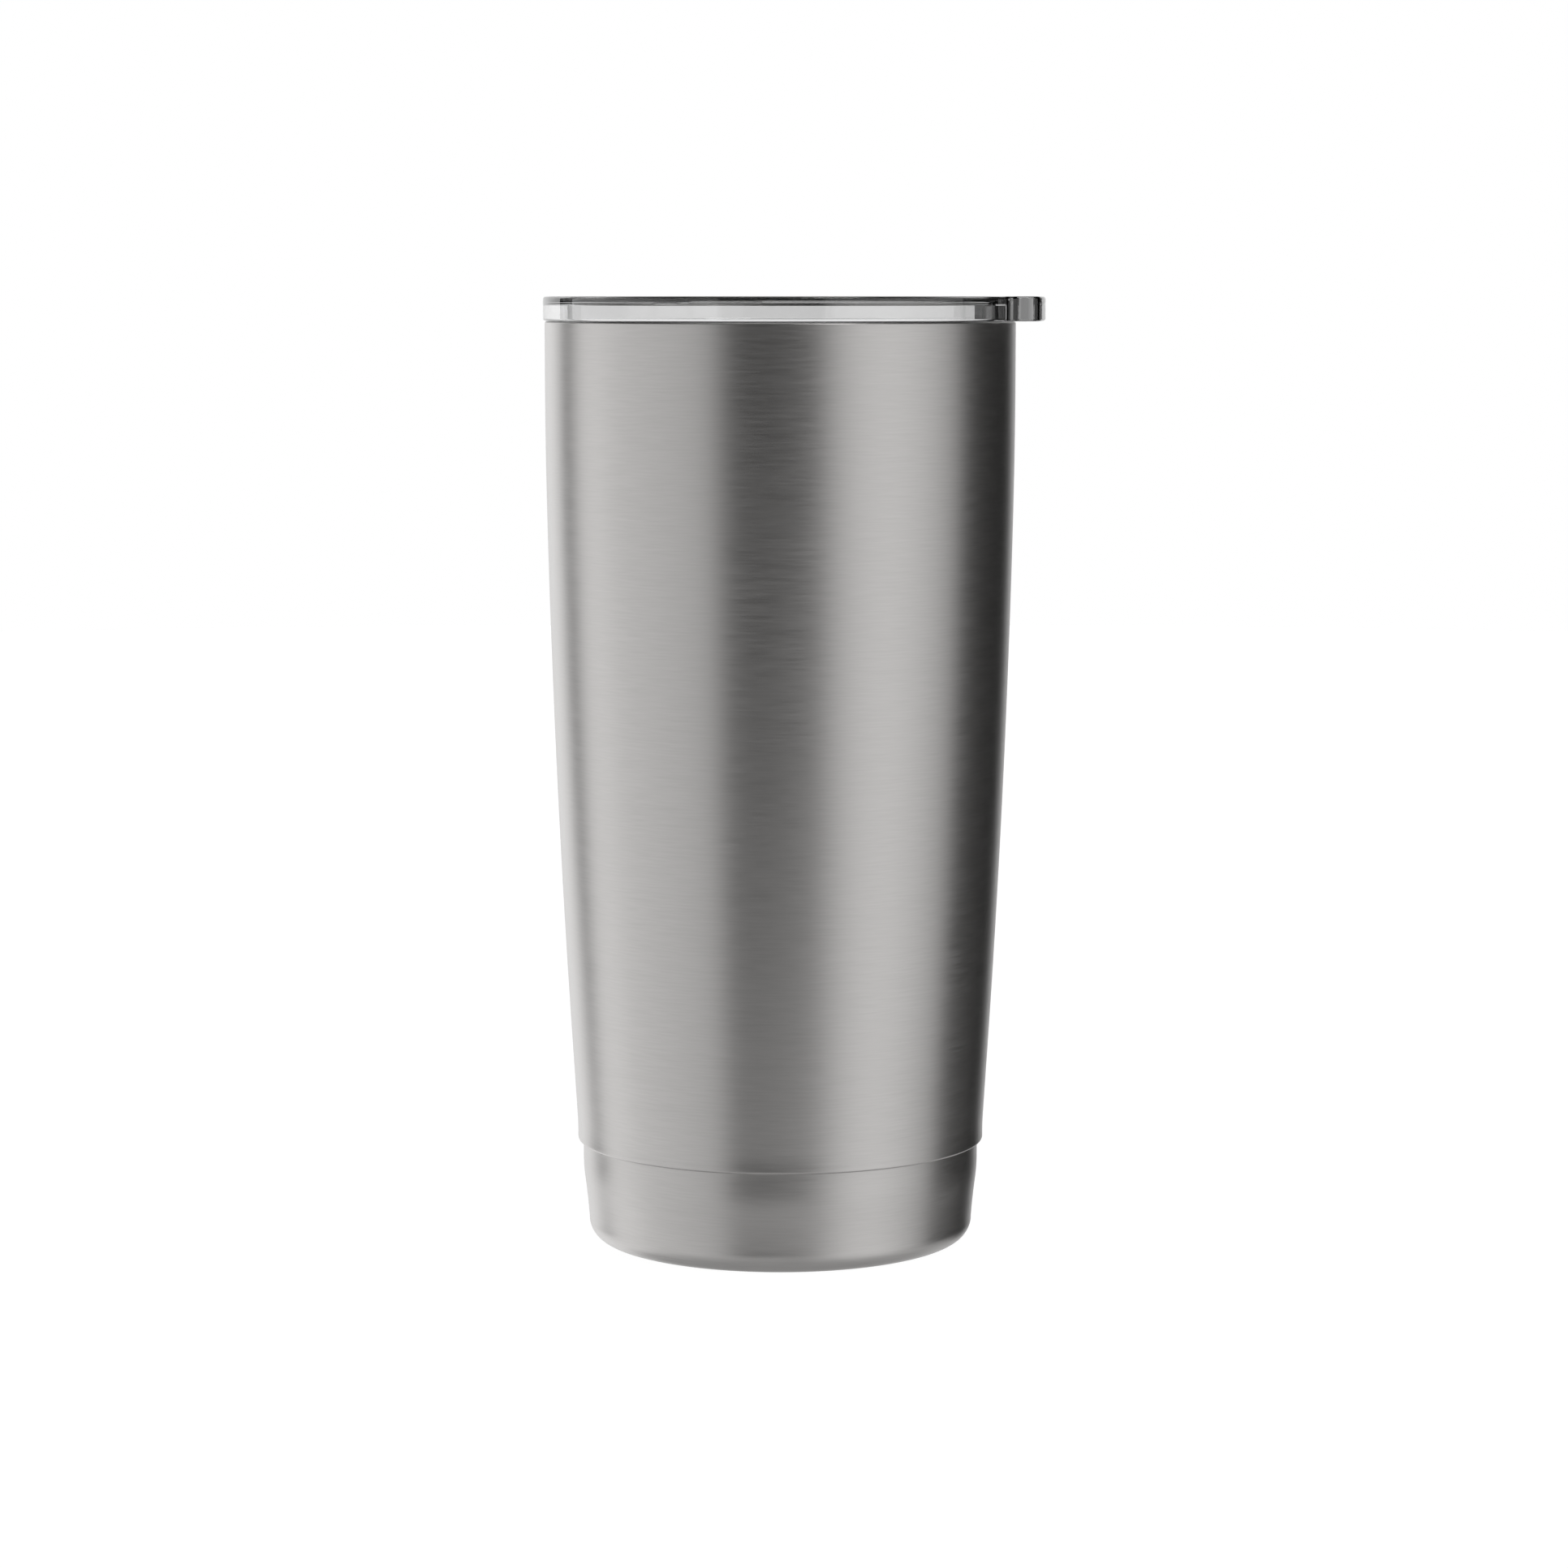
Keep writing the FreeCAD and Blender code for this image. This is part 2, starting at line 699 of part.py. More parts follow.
# Two hooked rails guide the slider, and a low wall stops it.
drawing = Drawing(lid, "YZ_Plane", "RailSection", level=-length("rail_start"))
rail_foot = length("deck_top") - length("rail_root")
rail_hook = length("deck_top") + length("rail_lip_foot")
rail_top = length("deck_top") + length("rail_height")
for side in (1, -1):
    face = length("rail_face") * side
    outer = (length("rail_face") + length("rail_wall")) * side
    hook = (length("rail_face") - length("rail_lip")) * side
    drawing.polygon(
        (face, rail_foot),
        (outer, rail_foot),
        (outer, rail_top),
        (hook, rail_top),
        (hook, rail_hook),
        (face, rail_hook),
    )
drawing.pad("Rails", length("rail_start") - length("rail_end"))
drawing = Drawing(lid, "XY_Plane", "StopOutline", level=rail_foot)
stop_half = length("stop_width") * 0.5
stop_near = -length("rail_end")
stop_far = stop_near - length("stop_wall")
drawing.polygon(
    (stop_far, -stop_half),
    (stop_near, -stop_half),
    (stop_near, stop_half),
    (stop_far, stop_half),
)
drawing.pad("EndStop", length("rail_root") + length("stop_height"))

# Gasket: a band in the plug's groove with two fins that drag on the liner.
gasket = new_body("lid_gasket")
drawing = Drawing(gasket, "XZ_Plane", "GasketSection")
gap = length("gasket_gap")
band_inner = length("groove_floor") + gap
band_top = length("groove_top") - gap
band_foot = length("groove_foot") + gap
fin = length("fin_wall")
drop = length("fin_drop")
drawing.polygon(
    (band_inner, band_top),
    ("gasket_radius", band_top),
    ("fin_radius", band_top - drop),
    ("fin_radius", band_top - drop - fin * 0.5),
    ("gasket_radius", band_top - fin),
    ("gasket_radius", band_foot + fin + drop),
    ("fin_radius", band_foot + fin),
    ("fin_radius", band_foot + fin * 0.5),
    ("gasket_radius", band_foot),
    (band_inner, band_foot),
)
drawing.revolve("GasketBody")

# Slider: a plate under the rails' hooks, an upper plate between them, and a grip.
slider = new_body("slider")
slider_foot = length("deck_top") + length("slider_gap")
plate_top = slider_foot + length("slider_plate")
upper_top = plate_top + length("slider_top_plate")
tail = -length("slider_tail")


def nose_plate(name, level, width, thickness):
    """A plate from the tail to a nose concentric with the lid."""
    nose = SIZES["slider_nose"]
    half_width = width.number / 2
    angle = math.asin(half_width / nose)
    nose_x = -nose * math.cos(angle)
    drawing = Drawing(slider, "XY_Plane", f"{name}Outline", level=level)
    front = drawing.arc((0, 0), nose, math.pi - angle, math.pi + angle)
    near_edge = drawing.segment((nose_x, -half_width), (tail.number, -half_width))
    back_edge = drawing.segment((tail.number, -half_width), (tail.number, half_width))
    far_edge = drawing.segment((tail.number, half_width), (nose_x, half_width))
    drawing.rule("Coincident", front, 3, -1, 1)
    drawing.bind("Radius", (front,), length("slider_nose"))
    drawing.rule("Coincident", front, 2, near_edge, 1)
    drawing.rule("Coincident", near_edge, 2, back_edge, 1)
    drawing.rule("Coincident", back_edge, 2, far_edge, 1)
    drawing.rule("Coincident", far_edge, 2, front, 1)
    drawing.rule("Horizontal", near_edge)
    drawing.rule("Horizontal", far_edge)
    drawing.pin((back_edge, 1), tail, width * -0.5)
    drawing.pin((back_edge, 2), tail, width * 0.5)
    drawing.pad(name, thickness)


nose_plate("LowerPlate", slider_foot, length("slider_width"), "slider_plate")
nose_plate("UpperPlate", plate_top, length("slider_top_width"), "slider_top_plate")
drawing = Drawing(slider, "XY_Plane", "GripOutline", level=upper_top)
drawing.slot(-length("grip_offset"), length("grip_span") * 0.5, "grip_radius")
drawing.pad("Grip", "grip_height")


def grip_rim(edge):
    """The grip's top edges."""
    top = upper_top.number + SIZES["grip_height"]
    return edge.BoundBox.ZLength < 0.01 and abs(edge.Vertexes[0].Point.z - top) < 0.01


fillet(slider, "GripRound", "grip_edge", grip_rim)
seal_inner = length("sip_radius") + length("seal_inset")
seal_outer = seal_inner + length("seal_width")
half_span = length("sip_span") * 0.5
drawing = Drawing(slider, "XY_Plane", "SealGrooveOutline", level=slider_foot)
drawing.slot(-length("sip_offset"), half_span, seal_outer)
drawing.slot(-length("sip_offset"), half_span, seal_inner)
drawing.pocket("SealGroove", "seal_depth", upward=True)

# Slider seal: an oblong ring in the slider's underside, round the drinking opening.
slider_seal = new_body("slider_seal")
seal_clear = length("seal_gap")
drawing = Drawing(slider_seal, "XY_Plane", "RingOutline", level=length("deck_top") + seal_clear)
drawing.slot(-length("sip_offset"), half_span, seal_outer - seal_clear)
drawing.slot(-length("sip_offset"), half_span, seal_inner + seal_clear)
seal_height = length("seal_depth") + length("slider_gap") - seal_clear * 2
drawing.pad("RingBody", seal_height)

doc.recompute()

failed = [o.Label for o in doc.Objects if "Invalid" in o.State or "Error" in o.State]
loose = [o.Label for o in doc.Objects if o.isDerivedFrom("Sketcher::SketchObject") and not o.FullyConstrained]
if failed or loose:
    raise RuntimeError(f"failed: {failed}, loose sketches: {loose}")
for body in pieces:
    if body.Shape.isNull() or not body.Shape.isValid() or len(body.Shape.Solids) != 1:
        raise RuntimeError(f"{body.Label} is not one valid solid")

os.makedirs("parts", exist_ok=True)
for body in pieces:
    body.Shape.exportStep(f"parts/{body.Label}.step")
    box = body.Shape.BoundBox
    print(f"{body.Label}: {body.Shape.Volume:.0f} mm3, z {box.ZMin:.2f} to {box.ZMax:.2f}")
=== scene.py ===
"""The insulated tumbler in a plain studio. Lengths are written in millimetres and scaled to metres."""
import math

import bmesh
import bpy
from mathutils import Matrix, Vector


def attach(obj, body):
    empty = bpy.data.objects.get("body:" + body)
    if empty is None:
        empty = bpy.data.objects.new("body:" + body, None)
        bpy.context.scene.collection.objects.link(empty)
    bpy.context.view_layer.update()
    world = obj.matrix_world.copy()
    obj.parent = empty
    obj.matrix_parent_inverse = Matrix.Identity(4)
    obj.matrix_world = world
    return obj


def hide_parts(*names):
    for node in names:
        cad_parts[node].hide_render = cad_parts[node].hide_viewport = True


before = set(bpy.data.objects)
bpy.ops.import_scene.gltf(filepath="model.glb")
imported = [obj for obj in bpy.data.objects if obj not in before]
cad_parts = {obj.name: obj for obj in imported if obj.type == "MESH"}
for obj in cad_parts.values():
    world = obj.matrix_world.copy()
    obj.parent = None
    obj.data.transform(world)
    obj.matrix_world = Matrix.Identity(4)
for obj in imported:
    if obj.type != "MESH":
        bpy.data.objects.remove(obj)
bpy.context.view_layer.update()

scene = bpy.context.scene
scene.view_settings.view_transform = "Standard"

# ---------------------------------------------------------------- sizes in millimetres, as in the CAD

MM = 0.001

RIM = 43.79
LIP = 172.9
LIP_CORNER = 0.35
WELD = 42.6
SHELL_WALL = 0.6
LINER_WALL = 0.5
COLLAR_FOOT = 163.2
TAPER_KNEE = 137.7
TAPER_FOOT = 36.8
UPPER_BOW = 1190
LOWER_BOW = 2419
SKIRT = 38.32
SKIRT_EDGE = 19.2
SKIRT_CORNER = 0.4
SKIRT_HOLLOW = 55

CUP_COLLAR = 37.70
CUP_TOP = 23.0
NECK = 37.30
NECK_FOOT = 15.8
NECK_BOW = 30
NECK_BOW_FOOT = 11.8
BASE_HOLLOW = 130
FOOT_CORNER = 4.0

MOUTH = 41.6
SHOULDER = 39.4
SHOULDER_TOP = 156
SHOULDER_FOOT = 148
LINER_FOOT = 43
PAN = 35.8
PAN_TOP = 33
PAN_CORNER = 5

FLANGE = 44.1
FLANGE_FOOT = 173.0
FLANGE_EDGE = 0.5
BROW = 1.7
LID_TOP = 177.55
RECESS = 40
DECK_TOP = 167.5
DECK_FOOT = 165.5
PLUG = 41.2
PLUG_FOOT = 159.0
PLUG_BORE = 37.8
GROOVE_FLOOR = 39.7
GROOVE_TOP = 164.8
GROOVE_FOOT = 160.8
TAB_REACH = 49.3
TAB_HALF = 14.0
TAB_CORNER = 3.0
TAB_ROOT = 4.0

SIP_X = -33
SIP_HALF_SPAN = 4.5
SIP_RADIUS = 4.0
VENT_X = 31
VENT_RADIUS = 1.2
RAIL_ENDS = (-36.0, -3.4)
RAIL_FACE = 12.3
RAIL_BACK = 14.0
RAIL_HOOK = 10.7
RAIL_TOP = 170.0
RAIL_HOOK_FOOT = 169.1
RAIL_SINK = 0.5

SLIDER_NOSE = 39.3
SLIDER_TAIL = -17.0
SLIDER_HALF = 12.0
SLIDER_TOP_HALF = 10.3
GRIP_X = -21.6
GRIP_HALF_SPAN = 4.5
GRIP_RADIUS = 2.4

# ---------------------------------------------------------------- camera

camera_data = bpy.data.cameras.new("camera")
camera_data.lens = 100.8
camera_data.sensor_width = 36.0
camera_data.clip_start = 0.01
camera_data.clip_end = 30.0
camera = bpy.data.objects.new("camera", camera_data)
scene.collection.objects.link(camera)
camera.location = (0.0007, -0.8215, 0.1777)
camera.rotation_euler = (math.pi / 2 - 0.1108, 0, 0)
scene.camera = camera

# ---------------------------------------------------------------- mesh tools


def arc_points(centre, radius, start, end, steps):
    """Points on an arc, from one angle to the other, in degrees."""
    points = []
    for i in range(steps + 1):
        a = math.radians(start + (end - start) * i / steps)
        points.append((centre[0] + radius * math.cos(a), centre[1] + radius * math.sin(a)))
    return points


def rounded(corners, closed=True):
    """A polyline through (x, y, radius) corners, each rounded, with support points beside each round."""
    out = []
    count = len(corners)
    for i, (x, y, radius) in enumerate(corners):
        here = Vector((x, y))
        if not closed and i in (0, count - 1):
            out.append((x, y))
            continue
        before = Vector(corners[i - 1][:2]) - here
        after = Vector(corners[(i + 1) % count][:2]) - here
        u, v = before.normalized(), after.normalized()
        angle = u.angle(v)
        if radius <= 0 or angle > 3.1:
            out.append((x, y))
            continue
        reach = radius / math.tan(angle / 2)
        bisector = (u + v).normalized()
        centre = here + bisector * (radius / math.sin(angle / 2))
        a = here + u * reach - centre
        b = here + v * reach - centre
        support = min(0.25 * radius, 0.1)
        if before.length > reach + support:
            out.append(tuple(here + u * (reach + support)))
        turn = a.angle_signed(b)
        steps = max(3, round(abs(turn) / math.radians(12)))
        start = math.atan2(a.y, a.x)
        for k in range(steps + 1):
            t = start - turn * k / steps
            out.append((centre.x + radius * math.cos(t), centre.y + radius * math.sin(t)))
        if after.length > reach + support:
            out.append(tuple(here + v * (reach + support)))
    return out


def new_object(name, mesh, body=None):
    """An object in the scene, riding on a body if one is named."""
    piece = bpy.data.objects.new(name, mesh)
    scene.collection.objects.link(piece)
    if body:
        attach(piece, body)
    return piece


def skin(name, loops, closed=True, ring=True):
    """A mesh through loops of points, all the same length. A loop of one point is a pole."""
    mesh = bpy.data.meshes.new(name)
    bm = bmesh.new()
    rings = []
    for loop in loops:
        rings.append([bm.verts.new(Vector(p) * MM) for p in loop])
    pairs = list(zip(rings, rings[1:]))
    if closed:
        pairs.append((rings[-1], rings[0]))
    for a, b in pairs:
        n = max(len(a), len(b))
        for i in range(n if ring else n - 1):
            j = (i + 1) % n
            if len(a) == 1:
                bm.faces.new((a[0], b[i], b[j]))
            elif len(b) == 1:
                bm.faces.new((a[j], a[i], b[0]))
            else:
                bm.faces.new((a[j], a[i], b[i], b[j]))
    bmesh.ops.recalc_face_normals(bm, faces=bm.faces)
    for face in bm.faces:
        face.smooth = True
    bm.to_mesh(mesh)
    bm.free()
    mesh.set_sharp_from_angle(angle=math.radians(40))
    return mesh


def revolve(name, section, body, segments=288):
    """A solid turned about the axis from a section in (radius, height). Points on the axis are poles."""
    loops = []
    for r, z in section:
        if r < 1e-6:
            loops.append([(0, 0, z)])
            continue
        ring = []
        for i in range(segments):
            a = 2 * math.pi * i / segments
            ring.append((r * math.cos(a), r * math.sin(a), z))
        loops.append(ring)
    on_axis = len(loops[0]) == 1
    return new_object(name, skin(name, loops, closed=not on_axis), body)


# ---------------------------------------------------------------- materials


class Shader:
    """A procedural material: a Principled BSDF and helpers that wire nodes to it."""

    def __init__(self, name, **values):
        self.material = bpy.data.materials.new(name)
        self.material.use_nodes = True
        self.tree = self.material.node_tree
        self.bsdf = self.tree.nodes["Principled BSDF"]
        for key, value in values.items():
            self.bsdf.inputs[key.replace("_", " ")].default_value = value

    def node(self, kind, **inputs):
        node = self.tree.nodes.new(kind)
        for key, value in inputs.items():
            socket = node.inputs[key.replace("_", " ")]
            if isinstance(value, bpy.types.NodeSocket):
                self.tree.links.new(value, socket)
            else:
                socket.default_value = value
        return node

    def math(self, operation, *values):
        node = self.tree.nodes.new("ShaderNodeMath")
        node.operation = operation
        for socket, value in zip(node.inputs, values):
            if isinstance(value, bpy.types.NodeSocket):
                self.tree.links.new(value, socket)
            else:
                socket.default_value = value
        return node.outputs["Value"]

    def place(self, scale):
        """Object coordinates, stretched."""
        coords = self.node("ShaderNodeTexCoord")
        return self.node("ShaderNodeMapping", Vector=coords.outputs["Object"], Scale=scale).outputs["Vector"]

    def noise(self, scale, detail=2.0):
        return self.node("ShaderNodeTexNoise", Vector=self.place(scale), Scale=1.0, Detail=detail)

    def ramp(self, source, low, high):
        """Maps the usual span of a noise onto a range."""
        node = self.node("ShaderNodeMapRange", Value=source)
        node.inputs["From Min"].default_value = 0.3
        node.inputs["From Max"].default_value = 0.7
        node.inputs["To Min"].default_value = low
        node.inputs["To Max"].default_value = high
        return node.outputs["Result"]

    def mix(self, factor, a, b):
        node = self.node("ShaderNodeMix")
        node.data_type = "RGBA"
        self.tree.links.new(factor, node.inputs["Factor"])
        for socket, value in ((node.inputs[6], a), (node.inputs[7], b)):
            socket.default_value = (*value, 1.0)
        return node.outputs[2]

    def bump(self, height, strength, distance, normal=None):
        node = self.node("ShaderNodeBump", Height=height)
        node.inputs["Strength"].default_value = strength
        node.inputs["Distance"].default_value = distance
        if normal is not None:
            self.tree.links.new(normal, node.inputs["Normal"])
        return node.outputs["Normal"]

    def drive(self, name, socket):
        self.tree.links.new(socket, self.bsdf.inputs[name])


def brushed_steel(name, light, dark, roughness, spread, anisotropy):
    """Steel brushed round the axis: highlights stretch up and down, and fine short lines break them up."""
    shader = Shader(name, Metallic=1.0, Anisotropic=anisotropy, Anisotropic_Rotation=0.25)
    tangent = shader.node("ShaderNodeTangent")
    tangent.direction_type = "RADIAL"
    tangent.axis = "Z"
    shader.drive("Tangent", tangent.outputs["Tangent"])
    fine = shader.noise((170, 170, 3400), detail=3.0).outputs["Fac"]
    broad = shader.noise((50, 50, 420), detail=2.0).outputs["Fac"]
    mottle = shader.noise((950, 950, 300), detail=2.0).outputs["Fac"]
    grain = shader.math("MULTIPLY_ADD", fine, 0.8, shader.math("MULTIPLY", broad, 0.2))
    shader.drive("Base Color", shader.mix(shader.ramp(grain, 0, 1), dark, light))
    shader.drive("Roughness", shader.ramp(grain, roughness - spread, roughness + spread))
    lines = shader.bump(fine, 0.10, 0.00002)
    shader.drive("Normal", shader.bump(mottle, 0.04, 0.00004, normal=lines))
    return shader.material


def clear_plastic(name, roughness):
    """Polished clear moulding that greys with depth, with a trace of flow waviness and handling haze."""
    shader = Shader(name, Transmission_Weight=1.0, IOR=1.53, Base_Color=(1, 1, 1, 1))
    body = shader.node("ShaderNodeVolumeAbsorption", Color=(0.5, 0.5, 0.5, 1), Density=100.0)
    output = shader.tree.nodes["Material Output"]
    shader.tree.links.new(body.outputs["Volume"], output.inputs["Volume"])
    haze = shader.noise((160, 160, 160), detail=4.0).outputs["Fac"]
    shader.drive("Roughness", shader.ramp(haze, roughness, roughness * 2.5))
    flow = shader.noise((38, 38, 38), detail=1.0).outputs["Fac"]
    shader.drive("Normal", shader.bump(flow, 0.05, 0.0002))
    return shader.material


def silicone(name):
    """Milky moulded silicone with a fine matt grain."""
    shader = Shader(name, Transmission_Weight=0.35, IOR=1.41, Subsurface_Weight=0.25)
    shader.bsdf.inputs["Subsurface Radius"].default_value = (0.002, 0.002, 0.002)
    cloud = shader.noise((90, 90, 90)).outputs["Fac"]
    shader.drive("Base Color", shader.mix(shader.ramp(cloud, 0, 1), (0.74, 0.75, 0.75), (0.84, 0.85, 0.85)))
    grain = shader.noise((2200, 2200, 2200), detail=3.0).outputs["Fac"]
    shader.drive("Roughness", shader.ramp(grain, 0.42, 0.6))
    shader.drive("Normal", shader.bump(grain, 0.15, 0.00002))
    return shader.material


def hidden_metal(name, light, dark, metallic, roughness, scale=900):
    """Plain finishes of the pieces between the walls."""
    shader = Shader(name, Metallic=metallic)
    grain = shader.noise((scale, scale, scale), detail=3.0).outputs["Fac"]
    shader.drive("Base Color", shader.mix(shader.ramp(grain, 0, 1), dark, light))
    shader.drive("Roughness", shader.ramp(grain, roughness - 0.06, roughness + 0.06))
    shader.drive("Normal", shader.bump(grain, 0.2, 0.00002))
    return shader.material


shell_steel = brushed_steel(
    "shell_steel", (0.475, 0.465, 0.458), (0.425, 0.416, 0.409), roughness=0.38, spread=0.03, anisotropy=0.53
)
base_steel = brushed_steel(
    "base_steel", (0.470, 0.460, 0.453), (0.420, 0.411, 0.404), roughness=0.39, spread=0.03, anisotropy=0.53
)
liner_steel = brushed_steel(
    "liner_steel", (0.66, 0.65, 0.64), (0.58, 0.572, 0.563), roughness=0.30, spread=0.04, anisotropy=0.5
)
mill_steel = hidden_metal("mill_steel", (0.55, 0.54, 0.53), (0.45, 0.44, 0.43), 1.0, 0.42)
foil_copper = hidden_metal("foil_copper", (0.93, 0.56, 0.40), (0.82, 0.45, 0.30), 1.0, 0.22, scale=240)
getter_powder = hidden_metal("getter_powder", (0.14, 0.14, 0.145), (0.07, 0.07, 0.075), 0.0, 0.8, scale=3000)
solder_glass = hidden_metal("solder_glass", (0.09, 0.12, 0.11), (0.05, 0.07, 0.065), 0.0, 0.2, scale=700)
lid_plastic = clear_plastic("lid_plastic", 0.004)
slider_plastic = clear_plastic("slider_plastic", 0.01)
milky_silicone = silicone("milky_silicone")


def finish_piece(piece, material, slot_name, *nodes):
    piece.data.materials.clear()
    piece.data.materials.append(material)
    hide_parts(*nodes)


def keep_node(name, material):
    """A CAD node that stays as it is, with its own finish."""
    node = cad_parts[name]
    for target in node.material_slots:
        target.material = material


# ---------------------------------------------------------------- steel pieces


def bow_down(points, radius, z_end, steps, slope, turn=1):
    """Continues a section downwards with an arc from the given slope. Returns the slope at its end."""
    r0, z0 = points[-1]
    start = math.atan(slope)
    centre = (r0 - turn * radius * math.cos(start), z0 + turn * radius * math.sin(start))
    end = math.asin(max(-1.0, min(1.0, turn * (centre[1] - z_end) / radius)))
    for i in range(1, steps + 1):
        a = start + (end - start) * i / steps
        points.append((centre[0] + turn * radius * math.cos(a), centre[1] - turn * radius * math.sin(a)))
    return math.tan(end)


def shell_side(inset):
    """One face of the outer shell, from below the lip to above the skirt's edge."""
    points = [(RIM - inset, 171.6), (RIM - inset, 167.4), (RIM - inset, COLLAR_FOOT)]
    slope = bow_down(points, UPPER_BOW - inset, TAPER_KNEE, 8, 0.0)
    slope = bow_down(points, LOWER_BOW - inset, TAPER_FOOT, 24, slope)
    skirt = SKIRT - inset
    hollow = SKIRT_HOLLOW + inset
    angle = math.atan(slope)
    drop = hollow * (1 - math.cos(angle))
    r, z = points[-1]
    knee_z = z - (r - skirt - drop) / slope
    points.append((skirt + drop, knee_z))
    foot_z = knee_z - hollow * math.sin(angle)
    for i in range(1, 7):
        a = angle * (1 - i / 6)
        points.append((skirt + hollow * (1 - math.cos(a)), foot_z + hollow * math.sin(a)))
    points.append((skirt, 21.5))
    return points


outer_face = shell_side(0.0)
inner_face = shell_side(SHELL_WALL)
lip_round = arc_points((RIM - LIP_CORNER, LIP - LIP_CORNER), LIP_CORNER, 90, 0, 8)
edge_round = arc_points((SKIRT - SKIRT_CORNER, SKIRT_EDGE + SKIRT_CORNER), SKIRT_CORNER, 0, -90, 6)
shell_section = [(WELD, LIP), *lip_round, *outer_face, (SKIRT, 19.8), *edge_round]
shell_section += [(SKIRT - 0.57, SKIRT_EDGE), (SKIRT - SHELL_WALL, 19.25), *reversed(inner_face)]
shell_section += [(RIM - SHELL_WALL, LIP - SHELL_WALL), (WELD, LIP - SHELL_WALL)]
shell = revolve("outer_shell_skin", shell_section, "tumbler", segments=360)
finish_piece(shell, shell_steel, "brushed_shell", "outer_shell")


def cup_side(inset):
    """One face of the base cup's wall, from the collar to the start of the foot's corner."""
    points = [
        (CUP_COLLAR - inset, CUP_TOP),
        (CUP_COLLAR - inset, 21.25),
        (CUP_COLLAR - 0.03 - inset, 21.1),
        (NECK + 0.03 - inset, 20.65),
        (NECK - inset, 20.5),
        (NECK - inset, 18.0),
        (NECK - inset, NECK_FOOT),
    ]
    slope = bow_down(points, NECK_BOW - inset, NECK_BOW_FOOT, 8, 0.0)
    bow_down(points, BASE_HOLLOW + inset, FOOT_CORNER, 6, slope, turn=-1)
    return points


def foot_round(points, radius, floor_z):
    """Rounds the foot from the wall's last point into the flat at floor_z."""
    r, z = points[-1]
    tilt = math.degrees(math.atan((points[-2][0] - r) / (points[-2][1] - z)))
    centre = (r - radius * math.cos(math.radians(tilt)), floor_z + radius)
    return [p for p in arc_points(centre, radius, -tilt, -90, 12) if p[1] < z - 0.05]


cup_out = cup_side(0.0)
cup_in = cup_side(SHELL_WALL)
foot_out = foot_round(cup_out, FOOT_CORNER, 0.0)
foot_in = foot_round(cup_in, FOOT_CORNER - SHELL_WALL, SHELL_WALL)
recess_out = rounded([(30, 0, 0), (24, 0, 0.4), (23, 1.2, 0.4), (0, 1.2, 0)], closed=False)
recess_in = rounded([(30, 0.6, 0), (24.4, 0.6, 0.4), (23.4, 1.8, 0.4), (0, 1.8, 0)], closed=False)
cup_section = [*reversed(recess_in), *reversed(foot_in), *reversed(cup_in)]
cup_section += [*cup_out, *foot_out, *recess_out]
cup = revolve("base_cup_skin", cup_section, "tumbler", segments=360)
finish_piece(cup, base_steel, "brushed_base", "base_cup")


def liner_side(outset):
    """One face of the liner's wall, from below the lip to the floor weld."""
    shoulder = [(MOUTH + outset, SHOULDER_TOP, 6), (SHOULDER + outset, SHOULDER_FOOT, 6)]
    return rounded([(MOUTH + outset, 171.9, 0), *shoulder, (PAN + outset, LINER_FOOT, 0)], closed=False)


mouth_round = arc_points((MOUTH + LIP_CORNER, LIP - LIP_CORNER), LIP_CORNER, 90, 180, 8)
liner_section = [(WELD, LIP), *mouth_round, *liner_side(0.0), *reversed(liner_side(LINER_WALL))]
liner_section += [(MOUTH + LINER_WALL, LIP - LINER_WALL), (WELD, LIP - LINER_WALL)]
liner = revolve("inner_liner_skin", liner_section, "tumbler")
finish_piece(liner, liner_steel, "liner_steel", "inner_liner")



def pan_side(outset):
    """One face of the liner's floor, from the weld to the axis."""
    corner = (PAN + outset, PAN_TOP - outset, PAN_CORNER + outset)
    return rounded([(PAN + outset, LINER_FOOT, 0), corner, (0, PAN_TOP - outset, 0)], closed=False)


pan = revolve("liner_floor_skin", [*reversed(pan_side(0.0)), *pan_side(LINER_WALL)], "tumbler", segments=192)
finish_piece(pan, liner_steel, "liner_steel", "liner_floor")

keep_node("vacuum_bottom", mill_steel)
keep_node("getter_strap", mill_steel)
keep_node("getter", getter_powder)
keep_node("vacuum_seal", solder_glass)
keep_node("copper_foil", foil_copper)

# ---------------------------------------------------------------- lid


def lid_outline():
    """The flange's outline with its tab: (x, y, normal x, normal y), anticlockwise from the tab's tip."""
    corner_x = math.sqrt((TAB_REACH - TAB_CORNER) ** 2 - (TAB_HALF - TAB_CORNER) ** 2)
    corner_angle = math.atan2(TAB_HALF - TAB_CORNER, corner_x)
    root_x = math.sqrt((FLANGE + TAB_ROOT) ** 2 - (TAB_HALF + TAB_ROOT) ** 2)
    root_angle = math.atan2(TAB_HALF + TAB_ROOT, root_x)
    upper = []

    def add(centre, radius, start, end, steps, hollow=False):
        for i in range(steps):
            a = start + (end - start) * i / steps
            c, s = math.cos(a), math.sin(a)
            n = -1 if hollow else 1
            upper.append((centre[0] + radius * c, centre[1] + radius * s, n * c, n * s))

    add((0, 0), TAB_REACH, 0, corner_angle, 16)
    add((corner_x, TAB_HALF - TAB_CORNER), TAB_CORNER, corner_angle, math.pi / 2, 12)
    upper.append((corner_x, TAB_HALF, 0, 1))
    add((root_x, TAB_HALF + TAB_ROOT), TAB_ROOT, -math.pi / 2, root_angle - math.pi, 14, hollow=True)
    add((0, 0), FLANGE, root_angle, math.pi, 170)
    lower = [(x, -y, nx, -ny) for x, y, nx, ny in reversed(upper[1:])]
    return upper + [(-FLANGE, 0, -1, 0)] + lower


